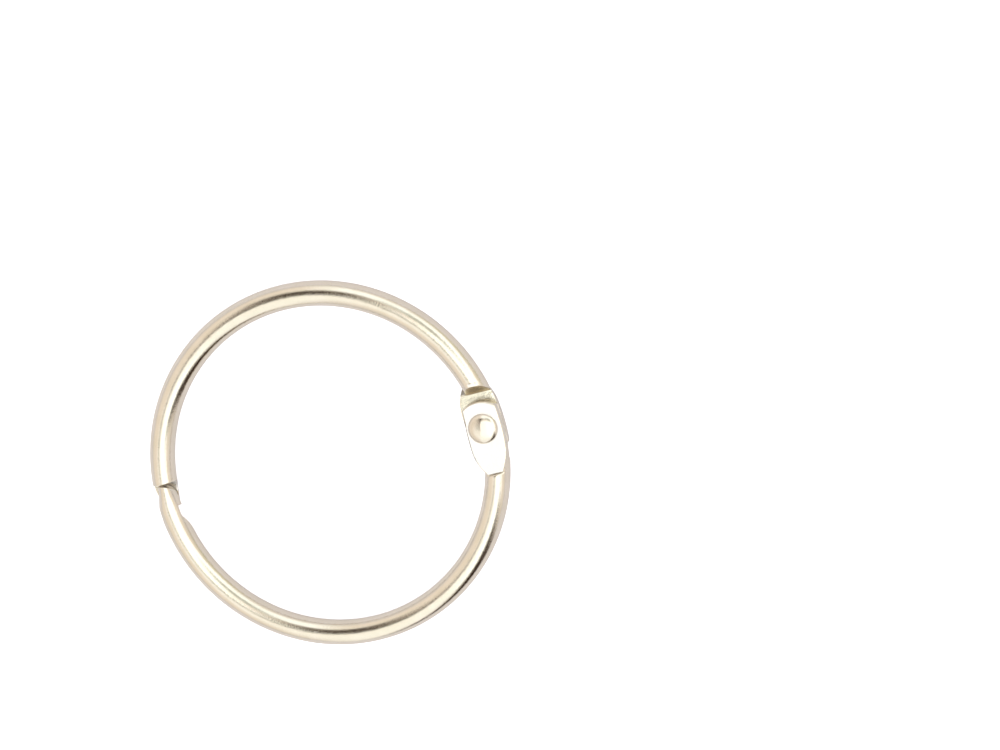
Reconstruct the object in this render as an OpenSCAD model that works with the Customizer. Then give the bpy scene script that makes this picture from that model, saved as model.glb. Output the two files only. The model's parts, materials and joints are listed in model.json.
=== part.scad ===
// Hinged loose-leaf binder ring: two half rings of plated steel wire, riveted together at flattened ears
// on one side and lapped over each other at stepped tongues on the other. The ring lies flat, hinge at +X.

/* [Ring] */
// Clear diameter inside the closed ring
inside_d = 38; // [30:0.5:60]
// Diameter of the wire
wire_d = 3; // [2.6:0.1:3.6]
// Gap between the two halves where they lie on each other, at the ears and at the tongues
lap_gap = 0.1; // [0.04:0.02:0.2]

/* [Hinge ears] */
// Distance along the ear from the rivet to the crease where the flat ear ends and the round wire starts
crease_reach = 5.6; // [5.2:0.1:8]
// Distance along the ear from the rivet to the foot of the step down to the lap face
step_reach = 4.1; // [3.7:0.1:4.4]
// Length of the sloped face of that step
step_run = 0.8; // [0.4:0.1:1]
// Depth of the crease: how far the ear's outer face lies below the crown of the wire
crease_depth = 0.3; // [0.1:0.05:0.5]
// Reach of the ear from the rivet towards the middle of the ring
ear_inner_reach = 2.1; // [1.9:0.05:2.4]
// Distance from the rivet to the rounded end of the ear
ear_end_r = 3.2; // [2.9:0.05:3.5]
// Length of the ear's straight inner edge, from the rivet towards the wire
ear_straight = 1.4; // [0.6:0.1:2]

/* [Hinge rivet] */
// Diameter of the rivet's shank
shank_d = 1.6; // [1.2:0.05:1.8]
// Diameter of the domed head
head_d = 3.4; // [3:0.05:3.8]
// Height of the straight rim under the dome
head_rim_h = 0.12; // [0.05:0.01:0.25]
// Height of the dome
head_dome_h = 0.42; // [0.2:0.02:0.7]
// Diameter of the upset tail on the far side
tail_d = 2.4; // [2:0.05:2.6]
// Height of the upset tail
tail_h = 0.4; // [0.2:0.05:0.6]
// Diameter of the dimple left in the middle of the tail
tail_dimple_d = 1; // [0.4:0.05:1.4]
// Depth of that dimple
tail_dimple_depth = 0.15; // [0.05:0.01:0.25]
// Radial play of the shank in the ear that swings, and of the tail in its recess
rivet_play = 0.05; // [0.02:0.01:0.1]
// Radial gap of the shank in the ear that holds it
rivet_seat_gap = 0.02; // [0.01:0.01:0.03]
// Gap under the head, so that the ear swings freely
head_gap = 0.05; // [0.02:0.01:0.1]

/* [Closure] */
// Distance from the middle of the lap to the straight cut on the rear half
cut_reach = 2.2; // [1.8:0.1:3]
// Gap between that cut and the tip of the front half's tongue
tip_gap = 0.2; // [0.1:0.05:0.6]
// Distance from the middle of the lap to the top of the ramp behind the front half's tongue
ramp_reach = 1.5; // [1.4:0.1:2.4]
// Length of that ramp, from the top of the notch down to the far side of the wire
ramp_run = 3; // [1:0.1:4]
// Reach of the rear half's tongue past the middle of the lap, towards the ramp
rear_tip_reach = 0.9; // [0.6:0.05:1.1]
// Radius of each tip's corner on the inside of the ring
tip_round = 1; // [0.4:0.1:1.4]
// Length of the notch behind the tooth, at the root of each tongue
notch_length = 1.2; // [0.6:0.1:1.4]
// Depth of that notch, from the lap
notch_depth = 0.75; // [0.2:0.05:0.9]

/* [Hidden] */
$fn = 96;

wire_r = wire_d / 2;
bend_r = inside_d / 2 + wire_r;
outer_r = bend_r + wire_r;
lap_z = lap_gap / 2;
flat_z = wire_r - crease_depth;
// The ear runs straight from the crease, so the rivet lies on the chord that the wire reaches there
hinge_x = sqrt(pow(bend_r, 2) - pow(crease_reach, 2));
// Half of the flat's width at the crease
neck_half = sqrt(pow(wire_r, 2) - pow(flat_z, 2));
ear_outer_reach = outer_r - hinge_x;
// The wire starts inside the ear, just past the rivet
wire_start = asin(shank_d / 2 / bend_r);

// The arc of a tip's corner runs this far past the tip, so that it meets the tip at an angle
corner_overrun = tip_round / 10;

nickel = [0.87, 0.82, 0.74];
rivet_nickel = [0.9, 0.86, 0.79];
// Size of the blocks that cut, larger than the ring
past = 2 * outer_r;
flare_steps = 12;

// Half the width of the ear on one side, narrowing to the flat of the wire towards the crease
function ear_half(reach, along) =
    let (share = max(0, (along - ear_straight) / (crease_reach - ear_straight)))
        reach - (reach - neck_half) * pow(share, 2);

// Plan of one ear, with the rivet at the origin and the wire leaving towards -Y
module ear_plan() {
    runs = [for (i = [0:flare_steps]) ear_straight + (crease_reach - ear_straight) * i / flare_steps];
    intersection() {
        circle(r = ear_end_r);
        translate([-ear_inner_reach, 0])
            square([ear_inner_reach + ear_outer_reach, ear_end_r]);
    }
    intersection() {
        polygon(concat(
            [[-ear_inner_reach, 0]],
            [for (t = runs) [-ear_half(ear_inner_reach, t), -t]],
            [for (i = [flare_steps:-1:0]) [ear_half(ear_outer_reach, runs[i]), -runs[i]]],
            [[ear_outer_reach, 0]]
        ));
        translate([-hinge_x, 0])
            circle(r = outer_r);
    }
}

// Space on the lap side of the ear, with the sloped step at its end
module ear_lap_cut() {
    drop = lap_z + wire_d;
    foot = -step_reach;
    slope = step_run / (wire_r + lap_z);
    rotate([90, 0, 90])
        linear_extrude(past)
            polygon([
                [past, lap_z],
                [foot, lap_z],
                [foot - slope * drop, lap_z - drop],
                [past, lap_z - drop]
            ]);
}

// Space above the ear's outer face, up to the crease
module ear_top_cut() {
    translate([0, -crease_reach, flat_z])
        cube([past, past, wire_d]);
}

// Space under and past a tongue, seen from the side: its tip, tooth and notch, and the shoulder behind them
module tongue_cut(tip, shoulder, run) {
    notch_z = lap_z + notch_depth;
    drop = notch_z + wire_d;
    slope = run / (notch_z + wire_r);
    translate([-past, 0, 0])
        rotate([90, 0, 90])
            linear_extrude(past)
                polygon([
                    [tip, wire_d],
                    [tip, lap_z],
                    [notch_length - shoulder, lap_z],
                    [notch_length - shoulder, notch_z],
                    [-shoulder, notch_z],
                    [-shoulder - slope * drop, notch_z - drop],
                    [past, notch_z - drop],
                    [past, wire_d]
                ]);
}

// Sliver that rounds the tip of a tongue on the inside of the ring
module tip_corner_cut(tip) {
    translate([-inside_d / 2, tip, -wire_d])
        linear_extrude(2 * wire_d)
            translate([-tip_round, -tip_round + corner_overrun])
                difference() {
                    square(2 * tip_round);
                    circle(r = tip_round);
                }
}

// Half ring without its rivet hole: ear, wire and tongue, on the -Y side, both laps facing down
module half_ring_blank(tip, shoulder, run) {
    wire_end = 180 + asin((tip + wire_r) / (inside_d / 2));
    difference() {
        union() {
            difference() {
                rotate([0, 0, -wire_end])
                    rotate_extrude(angle = wire_end - wire_start)
                        translate([bend_r, 0])
                            circle(r = wire_r);
                ear_top_cut();
            }
            translate([hinge_x, 0, 0])
                linear_extrude(flat_z)
                    ear_plan();
        }
        ear_lap_cut();
        tongue_cut(tip, shoulder, run);
        tip_corner_cut(tip);
    }
}

// Hole through the ear for the shank, wider than it by a radial gap
module ear_hole(gap) {
    translate([hinge_x, 0, -wire_d])
        cylinder(r = shank_d / 2 + gap, h = 2 * wire_d);
}

// Half at the front, whose ear and tongue lie on top
module front_half_ring() {
    color(nickel)
        translate([0, 0, wire_r])
            difference() {
                half_ring_blank(cut_reach - tip_gap, ramp_reach, ramp_run);
                ear_hole(rivet_play);
            }
}

// Half at the rear, turned over: its ear has the recess for the tail
module rear_half_ring() {
    color(nickel)
        translate([0, 0, wire_r])
            difference() {
                rotate([180, 0, 0])
                    half_ring_blank(rear_tip_reach, cut_reach, 0);
                ear_hole(rivet_seat_gap);
                translate([hinge_x, 0, -wire_d])
                    cylinder(d = tail_d + 2 * rivet_play, h = wire_d - flat_z + tail_h);
            }
}

// Rivet: domed head over the front ear, shank, and tail upset in the rear ear's recess
module hinge_rivet() {
    head_z = flat_z + head_gap;
    dome_z = head_z + head_rim_h;
    dome_r = (pow(head_d / 2, 2) + pow(head_dome_h, 2)) / (2 * head_dome_h);
    color(rivet_nickel)
        translate([hinge_x, 0, wire_r])
            difference() {
                union() {
                    translate([0, 0, -flat_z])
                        cylinder(d = tail_d, h = tail_h);
                    translate([0, 0, -flat_z])
                        cylinder(d = shank_d, h = flat_z + dome_z);
                    translate([0, 0, head_z])
                        cylinder(d = head_d, h = head_rim_h);
                    intersection() {
                        translate([0, 0, dome_z + head_dome_h - dome_r])
                            sphere(r = dome_r);
                        translate([0, 0, dome_z - head_rim_h / 2])
                            cylinder(d = head_d, h = dome_r);
                    }
                }
                translate([0, 0, -flat_z])
                    cylinder(d1 = tail_dimple_d, d2 = 0, h = tail_dimple_depth);
            }
}

front_half_ring();
rear_half_ring();
hinge_rivet();
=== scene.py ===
"""Looks of a hinged loose-leaf binder ring: two half rings of nickel-plated wire with stamped ears and cut
tongues, and the rivet that joins them, on a white table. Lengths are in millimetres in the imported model's
frame until a mesh is made of them; angles are in degrees."""

import json
import math

import bmesh
import bpy
import numpy as np
from mathutils import Matrix, Vector


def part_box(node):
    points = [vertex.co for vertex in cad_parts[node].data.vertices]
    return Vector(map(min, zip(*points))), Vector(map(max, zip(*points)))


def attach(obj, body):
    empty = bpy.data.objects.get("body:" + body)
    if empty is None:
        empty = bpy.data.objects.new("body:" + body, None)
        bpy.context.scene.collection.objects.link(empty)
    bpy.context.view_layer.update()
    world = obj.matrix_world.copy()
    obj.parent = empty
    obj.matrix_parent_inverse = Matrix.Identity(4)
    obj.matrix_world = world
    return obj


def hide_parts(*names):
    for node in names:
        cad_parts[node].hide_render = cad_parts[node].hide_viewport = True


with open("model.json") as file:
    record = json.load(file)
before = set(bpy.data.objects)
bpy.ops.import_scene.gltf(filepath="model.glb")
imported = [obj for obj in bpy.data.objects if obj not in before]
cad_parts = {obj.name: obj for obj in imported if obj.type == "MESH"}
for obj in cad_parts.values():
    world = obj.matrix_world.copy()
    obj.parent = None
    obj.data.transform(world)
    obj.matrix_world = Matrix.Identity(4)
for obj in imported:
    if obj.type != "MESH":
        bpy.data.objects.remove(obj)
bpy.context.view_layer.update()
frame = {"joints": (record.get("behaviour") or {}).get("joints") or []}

MM = 0.001


def node_box(node):
    """Lowest and highest corner of a CAD node, in millimetres."""
    low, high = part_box(node)
    return low / MM, high / MM


front_low, front_high = node_box("front_half_ring")
rivet_low, rivet_high = node_box("hinge_rivet")

# Ring and ears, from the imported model
WIRE_R = round(front_high.z - front_low.z, 1) / 2
OUTER_R = round(-front_low.y, 1)
BEND_R = OUTER_R - WIRE_R
HINGE_X = frame["joints"][0]["pos_m"][0] / MM
FLAT_Z = WIRE_R - rivet_low.z
CREASE_REACH = math.sqrt(BEND_R**2 - HINGE_X**2)
NECK_HALF = math.sqrt(WIRE_R**2 - FLAT_Z**2)
EAR_END_R = round(front_high.y, 2)
EAR_OUTER_REACH = OUTER_R - HINGE_X

# Details of the ears. Some differ from the CAD by tenths of a millimetre, to follow the photo more closely.
LAP_Z = 0.05
LAP_LEAN = 0.02
STEP_REACH = 4.1
STEP_RUN = 1.05
FRONT_EAR_INNER_REACH = 2.1
REAR_EAR_INNER_REACH = 2.38
EAR_END_NARROWING = 0.22
EAR_NARROWS_FROM = -1.0
EAR_INNER_STRAIGHT = 2.0
EAR_INNER_FLARE = 2.25
EAR_OUTER_STRAIGHT = 1.4
EAR_OUTER_FLARE = 2

# Details of the tongues, likewise
CUT_REACH = 2.42
TIP_GAP = 0.25
RAMP_REACH = 1.75
RAMP_RUN = 3.5
REAR_TIP_REACH = 0.9
TIP_ROUND = 1.4
TAPER_FROM = 3.4
TAPER_OUTSIDE = 0.65
TAPER_INSIDE = 0.3
NOTCH_LENGTH = 1.2
NOTCH_DEPTH = 0.75
FRONT_NOTCH_Z = LAP_Z + NOTCH_DEPTH
REAR_NOTCH_Z = LAP_Z
TONGUE_LEAN = 0.015

# Rivet: its dome bends gently and rolls off towards the rim, and a faint ridge runs across it
HEAD_WIDENING = 1.04
HEAD_R = (rivet_high.x - rivet_low.x) / 2 * HEAD_WIDENING
HEAD_TOP = rivet_high.z - WIRE_R
HEAD_GAP = 0.05
HEAD_UNDER = FLAT_Z + HEAD_GAP
DOME_BEND = 0.1
DOME_ROLL = 1.15
RIDGE_HEADING = -16.0
RIDGE_AT = -0.18
RIDGE_SLOPE = 0.07
RIDGE_REACH = 0.9
SHANK_R = 0.8
TAIL_R = 1.2
TAIL_H = 0.4
DIMPLE_R = 0.5
DIMPLE_DEPTH = 0.15
SWING_PLAY = 0.05
SEAT_GAP = 0.02

# Radii that stamping, cutting and plating leave on edges and in inner corners
EAR_EDGE_R = 0.18
CREASE_FILLET_R = 0.05
GROOVE_R = 0.07
CUT_EDGE_R = 0.06
CUT_FILLET_R = 0.05
EAR_BLEND_R = 0.15
EAR_BLEND_RUN = 1.5
SHARP_R = 0.01
RIVET_EDGE_R = 0.04

# Density of the lofted meshes, and where their sections turn from square to the ear to square to the wire
AROUND = 144
STRAIGHT_STEP = 0.07
RADIAL_STEP_DEG = 1.0
ARC_STEP_DEG = 1.5
END_ARC_FROM = 0.8
END_ARC_TO = 45.0
BREAK_GAPS = (0.003, 0.012, 0.024, 0.04, 0.06, 0.09, 0.13)
FAN_MARGIN = 0.3
TURN_OUT = 0.6
TONGUE_OUT = 5.2
RADIAL_FROM = 25.0
RADIAL_TO = 155.0
RAY_REACH = 3.6
HALVINGS = 34

# Density of the turned bodies
LATHE_STEPS = 128
DOME_POINTS = 40
DOME_TOP_DEG = 2.0
DIMPLE_POINTS = 9
DIMPLE_FROM = 0.1
SMOOTH_LIMIT = 38.0


def round_max(a, b, r):
    """What two solids share, with a rounded outer edge where their faces meet."""
    return np.minimum(np.maximum(a, b), -r) + np.hypot(np.maximum(a + r, 0), np.maximum(b + r, 0))


def round_min(a, b, r):
    """Two solids joined, with a rounded inner corner where their faces meet."""
    return -round_max(-a, -b, r)


def ease(low, high, value):
    """Smooth rise from 0 at low to 1 at high."""
    share = np.clip((value - low) / (high - low), 0, 1)
    return share * share * (3 - 2 * share)


class Half:
    """What sets one half ring apart from the other."""

    def __init__(self, ear_inner_reach, tip, shoulder, run, notch_z, turned_over):
        self.ear_inner_reach = ear_inner_reach
        self.tip = tip
        self.shoulder = shoulder
        self.run = run
        self.notch_z = notch_z
        self.turned_over = turned_over


FRONT = Half(
    ear_inner_reach=FRONT_EAR_INNER_REACH,
    tip=CUT_REACH - TIP_GAP,
    shoulder=RAMP_REACH,
    run=RAMP_RUN,
    notch_z=FRONT_NOTCH_Z,
    turned_over=False,
)
REAR = Half(
    ear_inner_reach=REAR_EAR_INNER_REACH,
    tip=REAR_TIP_REACH,
    shoulder=CUT_REACH,
    run=0.0,
    notch_z=REAR_NOTCH_Z,
    turned_over=True,
)


def flare(along, straight, power):
    """How far an edge of the ear has narrowed to the wire: 0 along its straight part, 1 at the crease."""
    return np.clip((along - straight) / (CREASE_REACH - straight), 0, 1) ** power


def ear_plan(x, y, inner_reach):
    """Outline of the ear seen from above, below zero inside it."""
    u = x - HINGE_X
    along = -y
    inner = inner_reach - (inner_reach - NECK_HALF) * flare(along, EAR_INNER_STRAIGHT, EAR_INNER_FLARE)
    inner = inner - EAR_END_NARROWING * ease(EAR_NARROWS_FROM, EAR_END_R, y)
    outer_share = flare(along, EAR_OUTER_STRAIGHT, EAR_OUTER_FLARE)
    outer = EAR_OUTER_REACH - (EAR_OUTER_REACH - NECK_HALF) * outer_share
    sides = np.maximum(-inner - u, u - outer)
    end = np.hypot(u, np.maximum(y, 0)) - EAR_END_R
    rim = np.hypot(x, y) - OUTER_R
    return np.maximum.reduce([sides, end, rim, along - CREASE_REACH])


def hinge_side_field(x, y, z, half):
    """Wire with its ear, less the flat on top, the lap below and the groove at the crease."""
    rho = np.hypot(x, y)
    wire = np.maximum(np.hypot(rho - BEND_R, z) - WIRE_R, y + SHANK_R)
    ear_top = FLAT_Z + 2 * EAR_EDGE_R
    ear = np.maximum.reduce([ear_plan(x, y, half.ear_inner_reach), -z, z - ear_top])
    blend_r = EAR_BLEND_R * (1 - ease(CREASE_REACH - EAR_BLEND_RUN, CREASE_REACH, -y)) + SHARP_R
    body = np.maximum(round_min(wire, ear, blend_r), rho - OUTER_R)

    flat = round_min(z - FLAT_Z, y + CREASE_REACH, CREASE_FILLET_R)
    step_slope = STEP_RUN / (WIRE_R + LAP_Z)
    step = (y + STEP_REACH + step_slope * (LAP_Z - z)) / math.hypot(1, step_slope)
    lap = round_min(LAP_Z + LAP_LEAN * (OUTER_R - x) - z, step, CUT_FILLET_R)
    groove = GROOVE_R - np.hypot(y + CREASE_REACH - GROOVE_R, z - FLAT_Z)
    body = round_max(body, flat, EAR_EDGE_R)
    body = round_max(body, lap, CUT_EDGE_R)
    return round_max(body, groove, SHARP_R)


def closure_side_field(x, y, z, half):
    """Wire that narrows to its tongue, less the space under the tongue and past its tip."""
    rho = np.hypot(x, y)
    tip = half.tip
    slope = half.run / (half.notch_z + WIRE_R)
    ramp = (y + half.shoulder + slope * (half.notch_z - z)) / math.hypot(1, slope)
    lap_z = LAP_Z + TONGUE_LEAN * (tip - y)
    floor_z = np.maximum(half.notch_z, lap_z)
    tooth = round_min(lap_z - z, ramp, CUT_FILLET_R)
    notch = round_min(floor_z - z, ramp, CUT_FILLET_R)
    notch = round_min(notch, NOTCH_LENGTH - half.shoulder - y, CUT_FILLET_R)

    taper = ease(tip - TAPER_FROM, tip, y)
    half_width = WIRE_R - (TAPER_OUTSIDE + TAPER_INSIDE) / 2 * taper
    middle_r = BEND_R + (TAPER_INSIDE - TAPER_OUTSIDE) / 2 * taper
    wire = (np.hypot((rho - middle_r) / half_width, z / WIRE_R) - 1) * half_width
    inside = middle_r - half_width - rho
    corner_y = tip - TIP_ROUND
    corner = np.hypot(np.maximum(inside + TIP_ROUND, 0), np.maximum(y - corner_y, 0)) - TIP_ROUND
    corner = np.where(y > corner_y, corner, -TIP_ROUND)
    end = np.maximum(y - tip, corner)
    wire = round_max(wire, np.maximum(tooth, notch), CUT_EDGE_R)
    return round_max(wire, end, CUT_EDGE_R)


def half_ring_field(point, half):
    """Below zero inside a half ring that lies on the -Y side with both laps facing down, above zero outside.
    Heights count from the middle of the wire."""
    x, y, z = point[..., 0], point[..., 1], point[..., 2]
    return np.where(x > 0, hinge_side_field(x, y, z, half), closure_side_field(x, y, z, half))


def marks(start, stop, step, breaks=()):
    """Places from start to stop, crowded next to each break in the outline."""
    even = np.linspace(start, stop, math.ceil(abs(stop - start) / step) + 1)
    near = [place + side * gap for place in breaks for side in (-1, 1) for gap in BREAK_GAPS]
    low, high = min(start, stop), max(start, stop)
    places = np.unique(np.concatenate([even, [p for p in near if low < p < high]]))
    return places if start < stop else places[::-1]


def stations(half):
    """Sections along a half ring, from the end of the ear to the tip of the tongue: the middle of each, the
    direction in which it runs outwards, and how flat the fan of its rays is."""
    end_arc = EAR_END_R * np.cos(np.radians(np.arange(END_ARC_FROM, END_ARC_TO, ARC_STEP_DEG)))
    ear_out = CREASE_REACH + TURN_OUT
    straight = marks(end_arc[-1] - STRAIGHT_STEP, -ear_out, STRAIGHT_STEP, (-STEP_REACH, -CREASE_REACH))
    ear_y = np.concatenate([end_arc, straight])
    ear_x = np.where(ear_y > -CREASE_REACH, HINGE_X, np.sqrt(BEND_R**2 - ear_y**2))
    in_ear = ease(-ear_out, -STEP_REACH - FAN_MARGIN, ear_y)

    turn_start = math.degrees(math.asin(ear_out / BEND_R))
    turn_end = 180 - math.degrees(math.asin(TONGUE_OUT / BEND_R))
    turns = np.concatenate([
        np.arange(turn_start + RADIAL_STEP_DEG, RADIAL_FROM, RADIAL_STEP_DEG),
        np.arange(RADIAL_FROM, RADIAL_TO, RADIAL_STEP_DEG),
        np.arange(RADIAL_TO, turn_end, RADIAL_STEP_DEG),
    ])
    lean_in = RADIAL_FROM * ease(turn_start, RADIAL_FROM, turns)
    lean_out = 180 - (180 - RADIAL_TO) * (1 - ease(RADIAL_TO, turn_end, turns))
    outward = np.where(turns < RADIAL_FROM, lean_in, np.where(turns > RADIAL_TO, lean_out, turns))

    breaks = (-half.shoulder, NOTCH_LENGTH - half.shoulder, half.tip)
    tongue_y = marks(-TONGUE_OUT, half.tip - BREAK_GAPS[0], STRAIGHT_STEP, breaks)
    in_tongue = ease(-TONGUE_OUT, -half.shoulder - FAN_MARGIN, tongue_y)
    tongue_x = -np.sqrt(BEND_R**2 - tongue_y**2)

    turn_rad = np.radians(turns)
    zeros = np.zeros_like(turns)
    middle = np.concatenate([
        np.stack([ear_x, ear_y, in_ear * (FLAT_Z + LAP_Z) / 2], 1),
        np.stack([BEND_R * np.cos(turn_rad), -BEND_R * np.sin(turn_rad), zeros], 1),
        np.stack([tongue_x, tongue_y, in_tongue * (WIRE_R + half.notch_z) / 2], 1),
    ])
    lean = np.radians(np.concatenate([np.zeros_like(ear_y), outward, np.full_like(tongue_y, 180)]))
    ear_flatness = (FLAT_Z - LAP_Z) / (half.ear_inner_reach + EAR_OUTER_REACH)
    flatness = np.concatenate([1 - in_ear * (1 - ear_flatness), np.ones(len(turns) + len(tongue_y))])
    return middle, lean, flatness


def new_object(name, vertices, faces):
    """Object from points in millimetres, with its faces turned outwards."""
    mesh = bpy.data.meshes.new(name)
    mesh.from_pydata((np.asarray(vertices) * MM).tolist(), [], faces)
    shape = bmesh.new()
    shape.from_mesh(mesh)
    bmesh.ops.recalc_face_normals(shape, faces=shape.faces)
    shape.to_mesh(mesh)
    shape.free()
    made = bpy.data.objects.new(name, mesh)
    bpy.context.scene.collection.objects.link(made)
    return made


def smooth(piece):
    """Smooth shading, with edges kept sharp where faces meet at more than the limit."""
    piece.data.shade_smooth()
    piece.data.set_sharp_from_angle(angle=math.radians(SMOOTH_LIMIT))


def strip_faces(rings, around, closed_ends):
    """Quads between neighbouring rings of points, and a face over each end where they are closed."""
    faces = []
    for ring in range(rings - 1):
        row, following = ring * around, (ring + 1) * around
        for k in range(around):
            beside = (k + 1) % around
            faces.append((row + k, row + beside, following + beside, following + k))
    if closed_ends:
        faces.append(tuple(range(around)))
        faces.append(tuple(range((rings - 1) * around, rings * around)))
    return faces


def loft(name, half):
    """Half ring as a closed mesh, each section found along rays from its middle to the surface."""
    middle, lean, flatness = stations(half)
    turn = np.arange(AROUND) * 2 * math.pi / AROUND
    across = np.cos(turn)[None, :] * np.ones(len(lean))[:, None]
    up = np.sin(turn)[None, :] * flatness[:, None]
    length = np.hypot(across, up)
    across, up = across / length, up / length
    ray = np.stack([across * np.cos(lean)[:, None], -across * np.sin(lean)[:, None], up], 2)
    near = np.zeros(across.shape)
    far = np.full(across.shape, RAY_REACH)
    for _ in range(HALVINGS):
        between = (near + far) / 2
        probe = middle[:, None, :] + between[..., None] * ray
        inside = half_ring_field(probe, half) < 0
        near = np.where(inside, between, near)
        far = np.where(inside, far, between)
    points = (middle[:, None, :] + near[..., None] * ray).reshape(-1, 3)
    if half.turned_over:
        points = points * (1, -1, -1)
    return new_object(name, points + (0, 0, WIRE_R), strip_faces(len(lean), AROUND, True))


def arc(centre_r, centre_z, radius, start, stop, steps=6):
    """Points of a profile along an arc, by radius and height."""
    angles = np.radians(np.linspace(start, stop, steps + 1))
    return [(centre_r + radius * math.cos(a), centre_z + radius * math.sin(a)) for a in angles]


def lathe(name, profile):
    """Closed body turned about the rivet's axis from a profile that starts and ends on it."""
    turn = np.arange(LATHE_STEPS) * 2 * math.pi / LATHE_STEPS
    points = [(HINGE_X, 0, profile[0][1]), (HINGE_X, 0, profile[-1][1])]
    for r, z in profile[1:-1]:
        points.extend((HINGE_X + r * math.cos(a), r * math.sin(a), z) for a in turn)
    rings = len(profile) - 2
    faces = [tuple(i + 2 for i in face) for face in strip_faces(rings, LATHE_STEPS, False)]
    last = 2 + (rings - 1) * LATHE_STEPS
    for k in range(LATHE_STEPS):
        beside = (k + 1) % LATHE_STEPS
        faces.append((0, 2 + beside, 2 + k))
        faces.append((1, last + k, last + beside))
    return new_object(name, np.array(points) + (0, 0, WIRE_R), faces)


def cut(piece, cutter):
    """Takes the cutter out of the piece and deletes it."""
    boolean = piece.modifiers.new("cut", "BOOLEAN")
    boolean.object = cutter
    boolean.operation = "DIFFERENCE"
    boolean.solver = "EXACT"
    evaluated = piece.evaluated_get(bpy.context.evaluated_depsgraph_get())
    whole = piece.data
    piece.data = bpy.data.meshes.new_from_object(evaluated)
    piece.modifiers.clear()
    bpy.data.meshes.remove(whole)
    bpy.data.objects.remove(cutter)


def make_front_half():
    """Half whose ear and tongue lie on top."""
    half = loft("front_half", FRONT)
    hole_r = SHANK_R + SWING_PLAY
    cut(half, lathe("hole", [(0, -WIRE_R), (hole_r, -WIRE_R), (hole_r, 2 * WIRE_R), (0, 2 * WIRE_R)]))
    smooth(half)
    return half


def make_rear_half():
    """Half whose ear and tongue lie underneath, with the recess for the rivet's tail."""
    half = loft("rear_half", REAR)
    hole_r = SHANK_R + SEAT_GAP
    recess_r = TAIL_R + SWING_PLAY
    recess_z = TAIL_H - FLAT_Z
    chamfer = RIVET_EDGE_R
    cut(half, lathe("recess", [
        (0, -2 * WIRE_R),
        (recess_r + chamfer, -2 * WIRE_R),
        (recess_r + chamfer, -FLAT_Z),
        (recess_r, chamfer - FLAT_Z),
        (recess_r, recess_z),
        (hole_r, recess_z),
        (hole_r, WIRE_R),
        (0, WIRE_R),
    ]))
    smooth(half)
    return half


def make_rivet():
    """Rivet with a domed head, and a tail upset round a dimple."""
    edge = RIVET_EDGE_R
    dimple = [
        (DIMPLE_R * t, DIMPLE_DEPTH * math.cos(t * math.pi / 2) - FLAT_Z)
        for t in np.linspace(DIMPLE_FROM, 1, DIMPLE_POINTS)
    ]
    dome = [
        (HEAD_R * t, HEAD_TOP - HEAD_R * (DOME_BEND * t**2 / 2 + DOME_ROLL * t**5 / 5))
        for t in np.sin(np.radians(np.linspace(90, DOME_TOP_DEG, DOME_POINTS)))
    ]
    profile = [(0, DIMPLE_DEPTH - FLAT_Z)]
    profile += dimple
    profile += arc(TAIL_R - edge, edge - FLAT_Z, edge, -90, 0)
    profile += [(TAIL_R, TAIL_H - FLAT_Z), (SHANK_R, TAIL_H - FLAT_Z), (SHANK_R, HEAD_UNDER)]
    profile += [(HEAD_R - edge, HEAD_UNDER), (HEAD_R, HEAD_UNDER + edge)]
    profile += dome
    profile += [(0, HEAD_TOP)]
    rivet = lathe("rivet", profile)
    smooth(rivet)
    heading = math.radians(RIDGE_HEADING)
    for vertex in rivet.data.vertices:
        x, y, z = vertex.co / MM
        aside = (x - HINGE_X) * math.cos(heading) + y * math.sin(heading) - RIDGE_AT
        on_top = ease(HEAD_UNDER + 2 * edge, HEAD_TOP, z - WIRE_R)
        drop = RIDGE_SLOPE * RIDGE_REACH * math.tanh(abs(aside) / RIDGE_REACH)
        vertex.co.z -= drop * on_top * MM
    return rivet


front_half = make_front_half()
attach(front_half, "front_half")
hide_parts("front_half_ring")

rear_half = make_rear_half()
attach(rear_half, "rear_half")
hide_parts("rear_half_ring")

rivet = make_rivet()
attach(rivet, "rear_half")
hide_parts("hinge_rivet")


# Colours of the plating
WIRE_LIGHT = (0.72, 0.65, 0.55, 1)
WIRE_WARM = (0.70, 0.63, 0.52, 1)
RIVET_LIGHT = (0.73, 0.66, 0.56, 1)
RIVET_WARM = (0.70, 0.63, 0.53, 1)
# The ears' faces are struck flat and given paler colours than the wire: white on the outer faces, partly
# their satin finish and partly a painted highlight; cream on the laps, painted light that lifts the shade
# they lie in
STRUCK_WHITE_AND_HIGHLIGHT = (0.93, 0.91, 0.88, 1)
LAP_PAINTED_LIGHT = (0.84, 0.79, 0.65, 1)
# Painted shade: grey on the inside of the rear half's tongue round the cut, where the recess under the front
# tongue's tip lies in shadow
CUT_SHADE_GREY = (0.54, 0.51, 0.49, 1)
# Painted shade: a darker line along the inner edge of each ear, and a dark corner beside the step
EDGE_SHADE_GREY = (0.28, 0.25, 0.22, 1)

# Ranges of place and of slope over which those colours set in
STAMP_FADE = 0.2
LEVEL = (0.95, 0.985)
CUT_SHADE_Z = (WIRE_R - 0.9, WIRE_R - 0.7)
CUT_SHADE_TOP = WIRE_R + 0.03
CUT_SHADE_Y = (0.9, 1.2)
CUT_SHADE_END = CUT_REACH + 0.02
CUT_SHADE_RHO = (BEND_R, BEND_R + 0.6)
EDGE_SHADE_X = (HINGE_X - 1.9, HINGE_X - 1.7)
EDGE_SHADE_Z = (FLAT_Z - 0.25, FLAT_Z - 0.2)
CORNER_X = (HINGE_X - 1.2, HINGE_X - 1.1)
CORNER_Y = (STEP_REACH, STEP_REACH + 0.2)
CORNER_Z = 0.2

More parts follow.
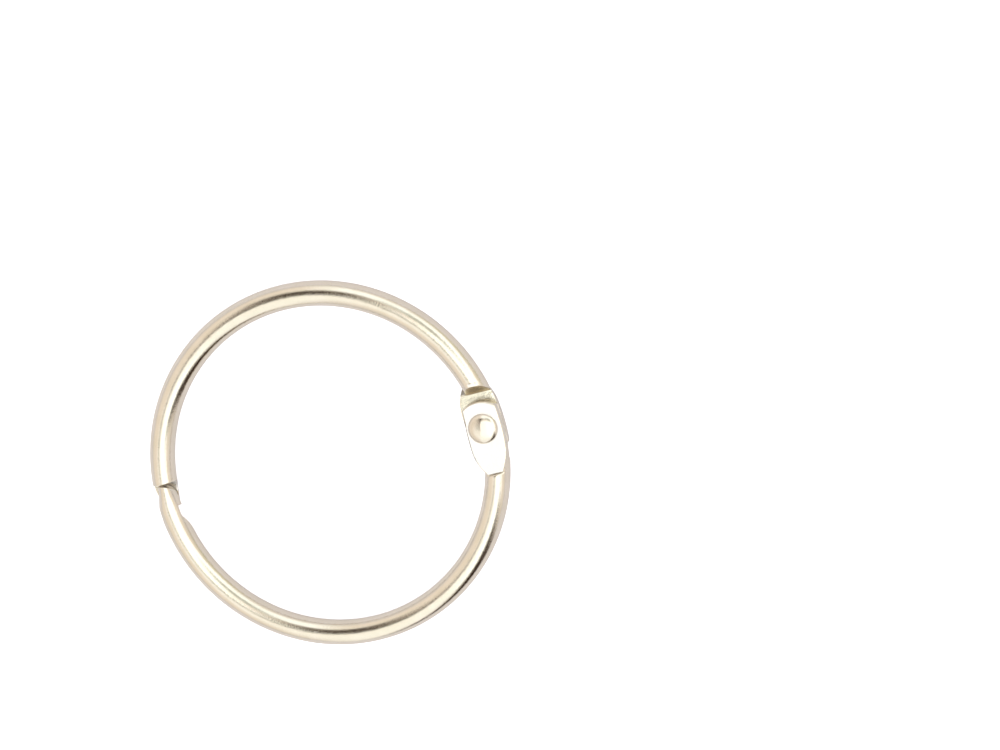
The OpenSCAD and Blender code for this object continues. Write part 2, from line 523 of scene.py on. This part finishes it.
# Patterns in the plating: how fine they are, and how much each adds to the roughness and to the height
STREAK_SCALE = 1.3
GRAIN_SCALE = 6.5
GRAIN_ROUGHNESS = 0.6
CLOUD_SCALE = 0.45
CLOUD_RANGE = (0.3, 0.7)
PITTING_SCALE = 3.2
PITTING_ROUGHNESS = 0.65
STREAK_SPREAD = 0.1
CLOUD_SPREAD = 0.06
STAMPED_SPREAD = 0.08
STREAK_HEIGHT = 0.5
PITTING_HEIGHT = 2.0
# How far the plating's fine hairlines, which run across the wire, spread reflections along it
DRAWN_SPREAD = 0.6
GRAIN_STRETCH = 5.0


class Graph:
    """Shorthand for building a node tree."""

    def __init__(self, tree):
        self.tree = tree

    def node(self, kind, inputs=(), **settings):
        """New node with its settings, each input a number, a colour or another node's output."""
        made = self.tree.nodes.new(kind)
        for key, value in settings.items():
            setattr(made, key, value)
        for key, value in dict(inputs).items():
            if isinstance(value, bpy.types.NodeSocket):
                self.tree.links.new(value, made.inputs[key])
            else:
                made.inputs[key].default_value = value
        return made

    def math(self, operation, *values):
        """Result of one sum."""
        return self.node("ShaderNodeMath", enumerate(values), operation=operation).outputs[0]

    def product(self, first, *others):
        """Values multiplied by each other."""
        for other in others:
            first = self.math("MULTIPLY", first, other)
        return first

    def vector(self, operation, *values):
        """Vector result of one vector sum."""
        return self.node("ShaderNodeVectorMath", enumerate(values), operation=operation).outputs["Vector"]

    def dot(self, a, b):
        """How far one vector runs along another."""
        return self.node("ShaderNodeVectorMath", {0: a, 1: b}, operation="DOT_PRODUCT").outputs["Value"]

    def length(self, vector):
        """Length of a vector."""
        return self.node("ShaderNodeVectorMath", {0: vector}, operation="LENGTH").outputs["Value"]

    def ramp(self, value, low, high, at_low=0.0, at_high=1.0):
        """Smooth change of a value from one level to another."""
        inputs = {"Value": value, "From Min": low, "From Max": high, "To Min": at_low, "To Max": at_high}
        return self.node("ShaderNodeMapRange", inputs, interpolation_type="SMOOTHSTEP").outputs["Result"]

    def noise(self, place, scale, detail=2.0, roughness=0.5):
        """Noise between 0 and 1."""
        inputs = {"Vector": place, "Scale": scale, "Detail": detail, "Roughness": roughness}
        return self.node("ShaderNodeTexNoise", inputs).outputs["Fac"]

    def mix(self, share, first, second):
        """Blend of two colours."""
        made = self.node("ShaderNodeMix", data_type="RGBA")
        colours = [socket for socket in made.inputs if socket.type == "RGBA"]
        for socket, value in zip([made.inputs[0]] + colours, (share, first, second)):
            if isinstance(value, bpy.types.NodeSocket):
                self.tree.links.new(value, socket)
            else:
                socket.default_value = value
        return next(socket for socket in made.outputs if socket.type == "RGBA")


def new_material(name):
    """Empty material with its shader."""
    material = bpy.data.materials.new(name)
    material.use_nodes = True
    material.node_tree.nodes.clear()
    graph = Graph(material.node_tree)
    shader = graph.node("ShaderNodeBsdfPrincipled")
    output = graph.node("ShaderNodeOutputMaterial")
    material.node_tree.links.new(shader.outputs["BSDF"], output.inputs["Surface"])
    return material, graph, shader


def stamped_masks(graph, axes):
    """Where the ears are stamped, where they are struck level, which of that is their outer face, and where
    painted shade darkens them along the inner edge and in the corner beside the step."""
    off_axis = graph.math("ABSOLUTE", axes["Y"])
    beside = graph.ramp(off_axis, CREASE_REACH - STAMP_FADE, CREASE_REACH, 1, 0)
    stamped = graph.product(beside, graph.math("GREATER_THAN", axes["X"], 0))
    facing = graph.node("ShaderNodeNewGeometry").outputs["True Normal"]
    level = graph.ramp(graph.math("ABSOLUTE", graph.dot(facing, (0, 0, 1))), *LEVEL)
    off_middle = graph.math("ABSOLUTE", graph.math("SUBTRACT", axes["Z"], WIRE_R))
    struck = graph.product(level, stamped)
    outer_face = graph.product(struck, graph.math("GREATER_THAN", off_middle, FLAT_Z / 2))
    # Painted shade: a dark line along the ears' inner edge, and a dark corner beside the step
    edge = graph.product(
        graph.math("SUBTRACT", 1, level),
        graph.ramp(axes["X"], *EDGE_SHADE_X, 1, 0),
        graph.ramp(off_middle, *EDGE_SHADE_Z),
    )
    corner = graph.product(
        graph.ramp(off_axis, *CORNER_Y),
        graph.ramp(axes["X"], *CORNER_X, 1, 0),
        graph.math("LESS_THAN", off_middle, CORNER_Z),
    )
    painted_shade = graph.product(graph.math("MAXIMUM", edge, corner), stamped)
    return stamped, struck, outer_face, painted_shade


def cut_shade_mask(graph, axes, rho):
    """Where painted shade greys the inside of the rear half's tongue round the cut."""
    return graph.product(
        graph.ramp(axes["Z"], *CUT_SHADE_Z),
        graph.ramp(axes["Y"], *CUT_SHADE_Y),
        graph.math("LESS_THAN", axes["Z"], CUT_SHADE_TOP),
        graph.math("LESS_THAN", axes["Y"], CUT_SHADE_END),
        graph.ramp(rho, *CUT_SHADE_RHO, 1, 0),
        graph.math("LESS_THAN", axes["X"], 0),
    )


def plating(name, light, warm, lap_painted_light, struck_and_highlight_colour, edge_shade_colour, polish, satin, grain_depth):
    """Warm nickel plating over drawn wire and stamped ears."""
    material, graph, shader = new_material(name)
    link = material.node_tree.links.new
    place = graph.node("ShaderNodeTexCoord").outputs["Object"]
    place = graph.vector("MULTIPLY", place, (1 / MM, 1 / MM, 1 / MM))
    axes = graph.node("ShaderNodeSeparateXYZ", {0: place}).outputs
    rho = graph.length(graph.vector("MULTIPLY", place, (1, 1, 0)))
    along = graph.math("MULTIPLY", graph.math("ARCTAN2", axes["Y"], axes["X"]), BEND_R)
    along = graph.math("MULTIPLY", along, GRAIN_STRETCH)
    drawn = graph.node("ShaderNodeCombineXYZ", {0: along, 1: rho, 2: axes["Z"]}).outputs["Vector"]
    streaks = graph.noise(drawn, STREAK_SCALE)
    grain = graph.noise(place, GRAIN_SCALE, roughness=GRAIN_ROUGHNESS)
    clouds = graph.noise(place, CLOUD_SCALE, detail=3.0)
    pitting = graph.noise(place, PITTING_SCALE, detail=3.0, roughness=PITTING_ROUGHNESS)

    stamped, struck, outer_face, painted_shade = stamped_masks(graph, axes)
    colour = graph.mix(graph.ramp(clouds, *CLOUD_RANGE), light, warm)
    # Cream on the laps: painted light over the shade they lie in
    colour = graph.mix(struck, colour, lap_painted_light)
    # White on the outer faces: partly satin finish, partly a painted highlight
    colour = graph.mix(outer_face, colour, struck_and_highlight_colour)
    # Painted shade along the ears' inner edge and beside the step
    colour = graph.mix(painted_shade, colour, edge_shade_colour)
    # Painted shade: grey round the cut on the rear half's tongue
    colour = graph.mix(cut_shade_mask(graph, axes, rho), colour, CUT_SHADE_GREY)
    link(colour, shader.inputs["Base Color"])

    spread = graph.math("MULTIPLY_ADD", streaks, STREAK_SPREAD, polish - STREAK_SPREAD / 2)
    spread = graph.math("SUBTRACT", spread, CLOUD_SPREAD / 2)
    spread = graph.math("MULTIPLY_ADD", clouds, CLOUD_SPREAD, spread)
    spread = graph.math("MULTIPLY_ADD", stamped, STAMPED_SPREAD, spread)
    spread = graph.math("MULTIPLY_ADD", outer_face, satin, spread)
    link(spread, shader.inputs["Roughness"])

    height = graph.math("MULTIPLY_ADD", streaks, STREAK_HEIGHT, grain)
    height = graph.math("MULTIPLY_ADD", graph.product(pitting, stamped), PITTING_HEIGHT, height)
    bump = graph.node("ShaderNodeBump", {"Height": height, "Distance": grain_depth * MM, "Strength": 1.0})
    link(bump.outputs["Normal"], shader.inputs["Normal"])
    shader.inputs["Metallic"].default_value = 1.0
    shader.inputs["Anisotropic"].default_value = DRAWN_SPREAD
    shader.inputs["Anisotropic Rotation"].default_value = 0.0
    round_ring = graph.node("ShaderNodeTangent", direction_type="RADIAL", axis="Z")
    link(round_ring.outputs["Tangent"], shader.inputs["Tangent"])
    return material


wire_nickel = plating(
    "wire_nickel",
    light=WIRE_LIGHT,
    warm=WIRE_WARM,
    lap_painted_light=LAP_PAINTED_LIGHT,
    struck_and_highlight_colour=STRUCK_WHITE_AND_HIGHLIGHT,
    edge_shade_colour=EDGE_SHADE_GREY,
    polish=0.14,
    satin=0.2,
    grain_depth=0.015,
)
rivet_nickel = plating(
    "rivet_nickel",
    light=RIVET_LIGHT,
    warm=RIVET_WARM,
    lap_painted_light=RIVET_LIGHT,
    struck_and_highlight_colour=RIVET_LIGHT,
    edge_shade_colour=RIVET_LIGHT,
    polish=0.13,
    satin=0.0,
    grain_depth=0.002,
)
for piece, material in ((front_half, wire_nickel), (rear_half, wire_nickel), (rivet, rivet_nickel)):
    piece.data.materials.clear()
    piece.data.materials.append(material)


# White table under the ring
TABLE_HALF = 1500.0
TABLE_DROP = 0.01
TABLE_COLOUR = (0.785, 0.77, 0.83, 1)
TABLE_ROUGHNESS = 0.9
TABLE_GLOW = 0.66


def make_table():
    """Pale table top that glows a little, so that it stays white."""
    reach = TABLE_HALF
    corners = [(-reach, -reach), (reach, -reach), (reach, reach), (-reach, reach)]
    table = new_object("table", [(x, y, -TABLE_DROP) for x, y in corners], [(0, 1, 2, 3)])
    material, graph, shader = new_material("table_white")
    shader.inputs["Base Color"].default_value = TABLE_COLOUR
    shader.inputs["Roughness"].default_value = TABLE_ROUGHNESS
    shader.inputs["Emission Color"].default_value = (1, 1, 1, 1)
    to_camera = graph.node("ShaderNodeLightPath").outputs["Is Camera Ray"]
    glow = graph.math("MULTIPLY", to_camera, TABLE_GLOW)
    material.node_tree.links.new(glow, shader.inputs["Emission Strength"])
    table.data.materials.append(material)


make_table()


# Soft boxes and dark cards over the table, on a map of the directions that the plating can mirror. A place on
# the map is in degrees from straight up, towards +X and towards +Y. Each panel is a fan from an apex.
SURROUND_UP = (1.13, 1.05, 0.95, 1)
SURROUND_LEVEL = (0.84, 0.83, 0.87, 1)
SURROUND_TURNS = (62.0, 90.0)
WHITE_TO_CAMERA = (1.1, 1.1, 1.1, 1)
DARK = (0.05, 0.03, 0.02)
DARKEST = (0.03, 0.02, 0.01)
LEAST_REACH = 0.0001


class Panel:
    """Fan-shaped soft box or card: where it starts and heads, its range, half width, spread and colour."""

    def __init__(self, apex, heading, near, far, half, spread, soft, colour, fade=None):
        self.apex = apex
        self.heading = math.radians(heading)
        self.near = near
        self.far = far
        self.half = half
        self.spread = math.tan(math.radians(spread))
        self.soft = soft
        self.fade = fade or soft
        self.colour = colour + (1,)

    def share(self, graph, sky):
        """How much of the panel shows at each place on the map."""
        offset = graph.vector("SUBTRACT", sky, self.apex + (0,))
        ahead = (math.cos(self.heading), math.sin(self.heading), 0)
        aside = (-ahead[1], ahead[0], 0)
        along = graph.dot(offset, ahead)
        across = graph.math("ABSOLUTE", graph.dot(offset, aside))
        edge = graph.math("SUBTRACT", across, graph.math("MULTIPLY_ADD", along, self.spread, self.half))
        inside = graph.ramp(edge, -self.soft, self.soft, 1, 0)
        begun = graph.ramp(along, self.near - self.soft, self.near + self.soft)
        ended = graph.ramp(along, self.far - self.fade, self.far + self.fade, 1, 0)
        return graph.product(inside, graph.product(begun, ended))


FRONT_FILL = Panel(
    apex=(-34, -3), heading=-65, near=0, far=74, half=5, spread=22, soft=13, colour=(1.4, 1.45, 1.42)
)
BIG_SOFT_BOX = Panel(
    apex=(-18, -2), heading=-14, near=0, far=65, half=1, spread=45, soft=3, colour=(2.0, 2.05, 2.0)
)
BACK_SOFT_BOX = Panel(
    apex=(-12, -9), heading=60, near=44, far=80, half=2, spread=20, soft=10, colour=(1.57, 1.68, 1.7)
)
GREY_GAP = Panel(
    apex=(-15, -4), heading=37, near=36, far=56, half=3, spread=10, soft=8, colour=(0.5, 0.53, 0.45)
)
BOX_CORNER = Panel(
    apex=(-21, -6), heading=-16, near=2, far=14, half=3, spread=20, soft=3, colour=(1.5, 1.5, 1.45)
)
DARK_STRIP = Panel(
    apex=(-20, -9), heading=78, near=3, far=45, half=3.5, spread=15, soft=2.5, colour=DARKEST, fade=10
)
DARK_FLOOR = Panel(apex=(38, -79), heading=193, near=0, far=60, half=9, spread=0, soft=4, colour=DARK)
DARK_FIGURE = Panel(apex=(29, -27), heading=-91, near=0, far=77, half=3, spread=23, soft=8, colour=DARK)
RIGHT_CARD = Panel(
    apex=(61, 34), heading=26, near=4, far=70, half=28, spread=11, soft=10, colour=(0.8, 0.79, 0.62)
)
# Each panel covers those before it
PANELS = (
    FRONT_FILL,
    BIG_SOFT_BOX,
    BACK_SOFT_BOX,
    GREY_GAP,
    BOX_CORNER,
    DARK_STRIP,
    DARK_FLOOR,
    DARK_FIGURE,
    RIGHT_CARD,
)


def make_studio():
    """World of soft boxes and dark cards, seen in reflections; the camera itself sees plain white."""
    world = bpy.data.worlds.new("studio")
    bpy.context.scene.world = world
    world.use_nodes = True
    world.node_tree.nodes.clear()
    graph = Graph(world.node_tree)
    look = graph.node("ShaderNodeTexCoord").outputs["Generated"]
    axes = graph.node("ShaderNodeSeparateXYZ", {0: look}).outputs
    level = graph.vector("MULTIPLY", look, (1, 1, 0))
    reach = graph.length(level)
    tilt = graph.math("MULTIPLY", graph.math("ARCTAN2", reach, axes["Z"]), 180 / math.pi)
    stretch = graph.math("DIVIDE", tilt, graph.math("MAXIMUM", reach, LEAST_REACH))
    scaled = graph.node("ShaderNodeVectorMath", {0: level, "Scale": stretch}, operation="SCALE")
    sky = scaled.outputs["Vector"]
    colour = graph.mix(graph.ramp(tilt, *SURROUND_TURNS), SURROUND_UP, SURROUND_LEVEL)
    for panel in PANELS:
        colour = graph.mix(panel.share(graph, sky), colour, panel.colour)
    camera_ray = graph.node("ShaderNodeLightPath").outputs["Is Camera Ray"]
    colour = graph.mix(camera_ray, colour, WHITE_TO_CAMERA)
    background = graph.node("ShaderNodeBackground", {"Color": colour})
    output = graph.node("ShaderNodeOutputWorld")
    world.node_tree.links.new(background.outputs["Background"], output.inputs["Surface"])


make_studio()


# Camera, from the photograph: where the ring's middle falls in it, and how it is seen
PHOTO_W = 1000
PHOTO_H = 750
RING_AT = (328.4, 464.0)
FOCAL_PX = 3378.0
CAMERA_AWAY = 400.0
CAMERA_TILT = 19.73
CAMERA_AZIMUTH = 24.62
CAMERA_ROLL = 230.65
SENSOR_W = 36.0
CLIP_START = 10.0


def make_camera():
    """Camera that sees the ring as the photograph does."""
    tilt, azimuth, roll = (math.radians(a) for a in (CAMERA_TILT, CAMERA_AZIMUTH, CAMERA_ROLL))
    back = Vector((math.sin(tilt) * math.cos(azimuth), math.sin(tilt) * math.sin(azimuth), math.cos(tilt)))
    level = Vector((0, 0, 1)).cross(back).normalized()
    rise = back.cross(level)
    right = math.cos(roll) * level + math.sin(roll) * rise
    up = math.cos(roll) * rise - math.sin(roll) * level
    u = (RING_AT[0] - PHOTO_W / 2) / FOCAL_PX
    v = (PHOTO_H / 2 - RING_AT[1]) / FOCAL_PX
    ahead = (-back - u * right - v * up).normalized()
    right = (right - ahead * right.dot(ahead)).normalized()
    up = right.cross(ahead)
    place = Vector((0, 0, WIRE_R)) + CAMERA_AWAY * back
    lens = bpy.data.cameras.new("camera")
    lens.sensor_width = SENSOR_W
    lens.sensor_fit = "HORIZONTAL"
    lens.lens = FOCAL_PX * SENSOR_W / PHOTO_W
    lens.clip_start = CLIP_START * MM
    camera = bpy.data.objects.new("camera", lens)
    turned = Matrix((right, up, -ahead)).transposed().to_4x4()
    camera.matrix_world = Matrix.Translation(place * MM) @ turned
    bpy.context.scene.collection.objects.link(camera)
    bpy.context.scene.camera = camera


make_camera()
bpy.context.scene.view_settings.view_transform = "Standard"
